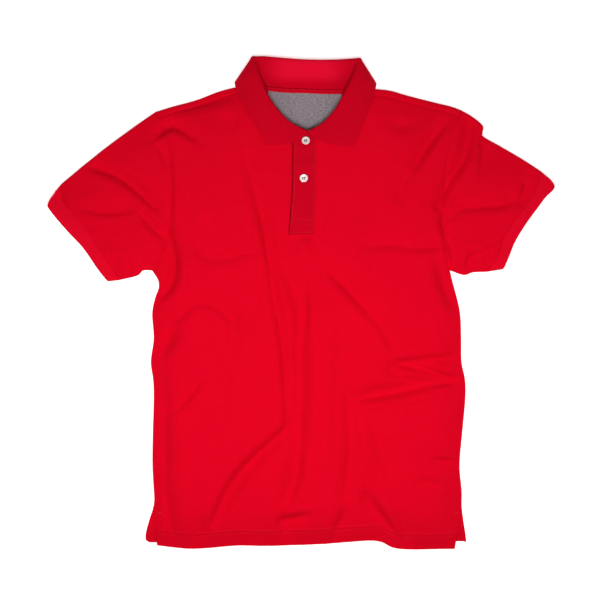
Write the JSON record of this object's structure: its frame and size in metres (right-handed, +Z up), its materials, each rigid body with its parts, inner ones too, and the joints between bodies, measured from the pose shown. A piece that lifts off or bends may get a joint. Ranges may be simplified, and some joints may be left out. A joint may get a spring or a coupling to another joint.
{
  "type": "polo shirt",
  "caption": "Short-sleeved polo shirt in knitted cloth laid flat face up, ribbed collar folded down, buttoned placket, ribbed cuffs and side vents.",
  "frame": {"origin": "middle of the bounding box at the floor the shirt lies on", "axes": "+Z up off the floor out of the chest, +Y towards the collar, +X towards the wearer's left sleeve"},
  "size_m": [0.7899, 0.7699, 0.0139],
  "materials": {
    "pique_red": "knitted pique, matt",
    "rib_red": "flat rib knit, matt",
    "marl_grey": "grey marl jersey, matt",
    "button_white": "ivory white, polished"
  },
  "bodies": {
    "root": {"front_panel": "pique_red", "back_panel": "pique_red", "right_sleeve": "pique_red", "left_sleeve": "pique_red", "right_cuff": "rib_red", "left_cuff": "rib_red", "collar": "rib_red", "placket_top": "pique_red", "placket_under": "pique_red", "neck_patch": "marl_grey", "neck_tape": "rib_red", "upper_button": "button_white", "lower_button": "button_white"}
  },
  "joints": []
}
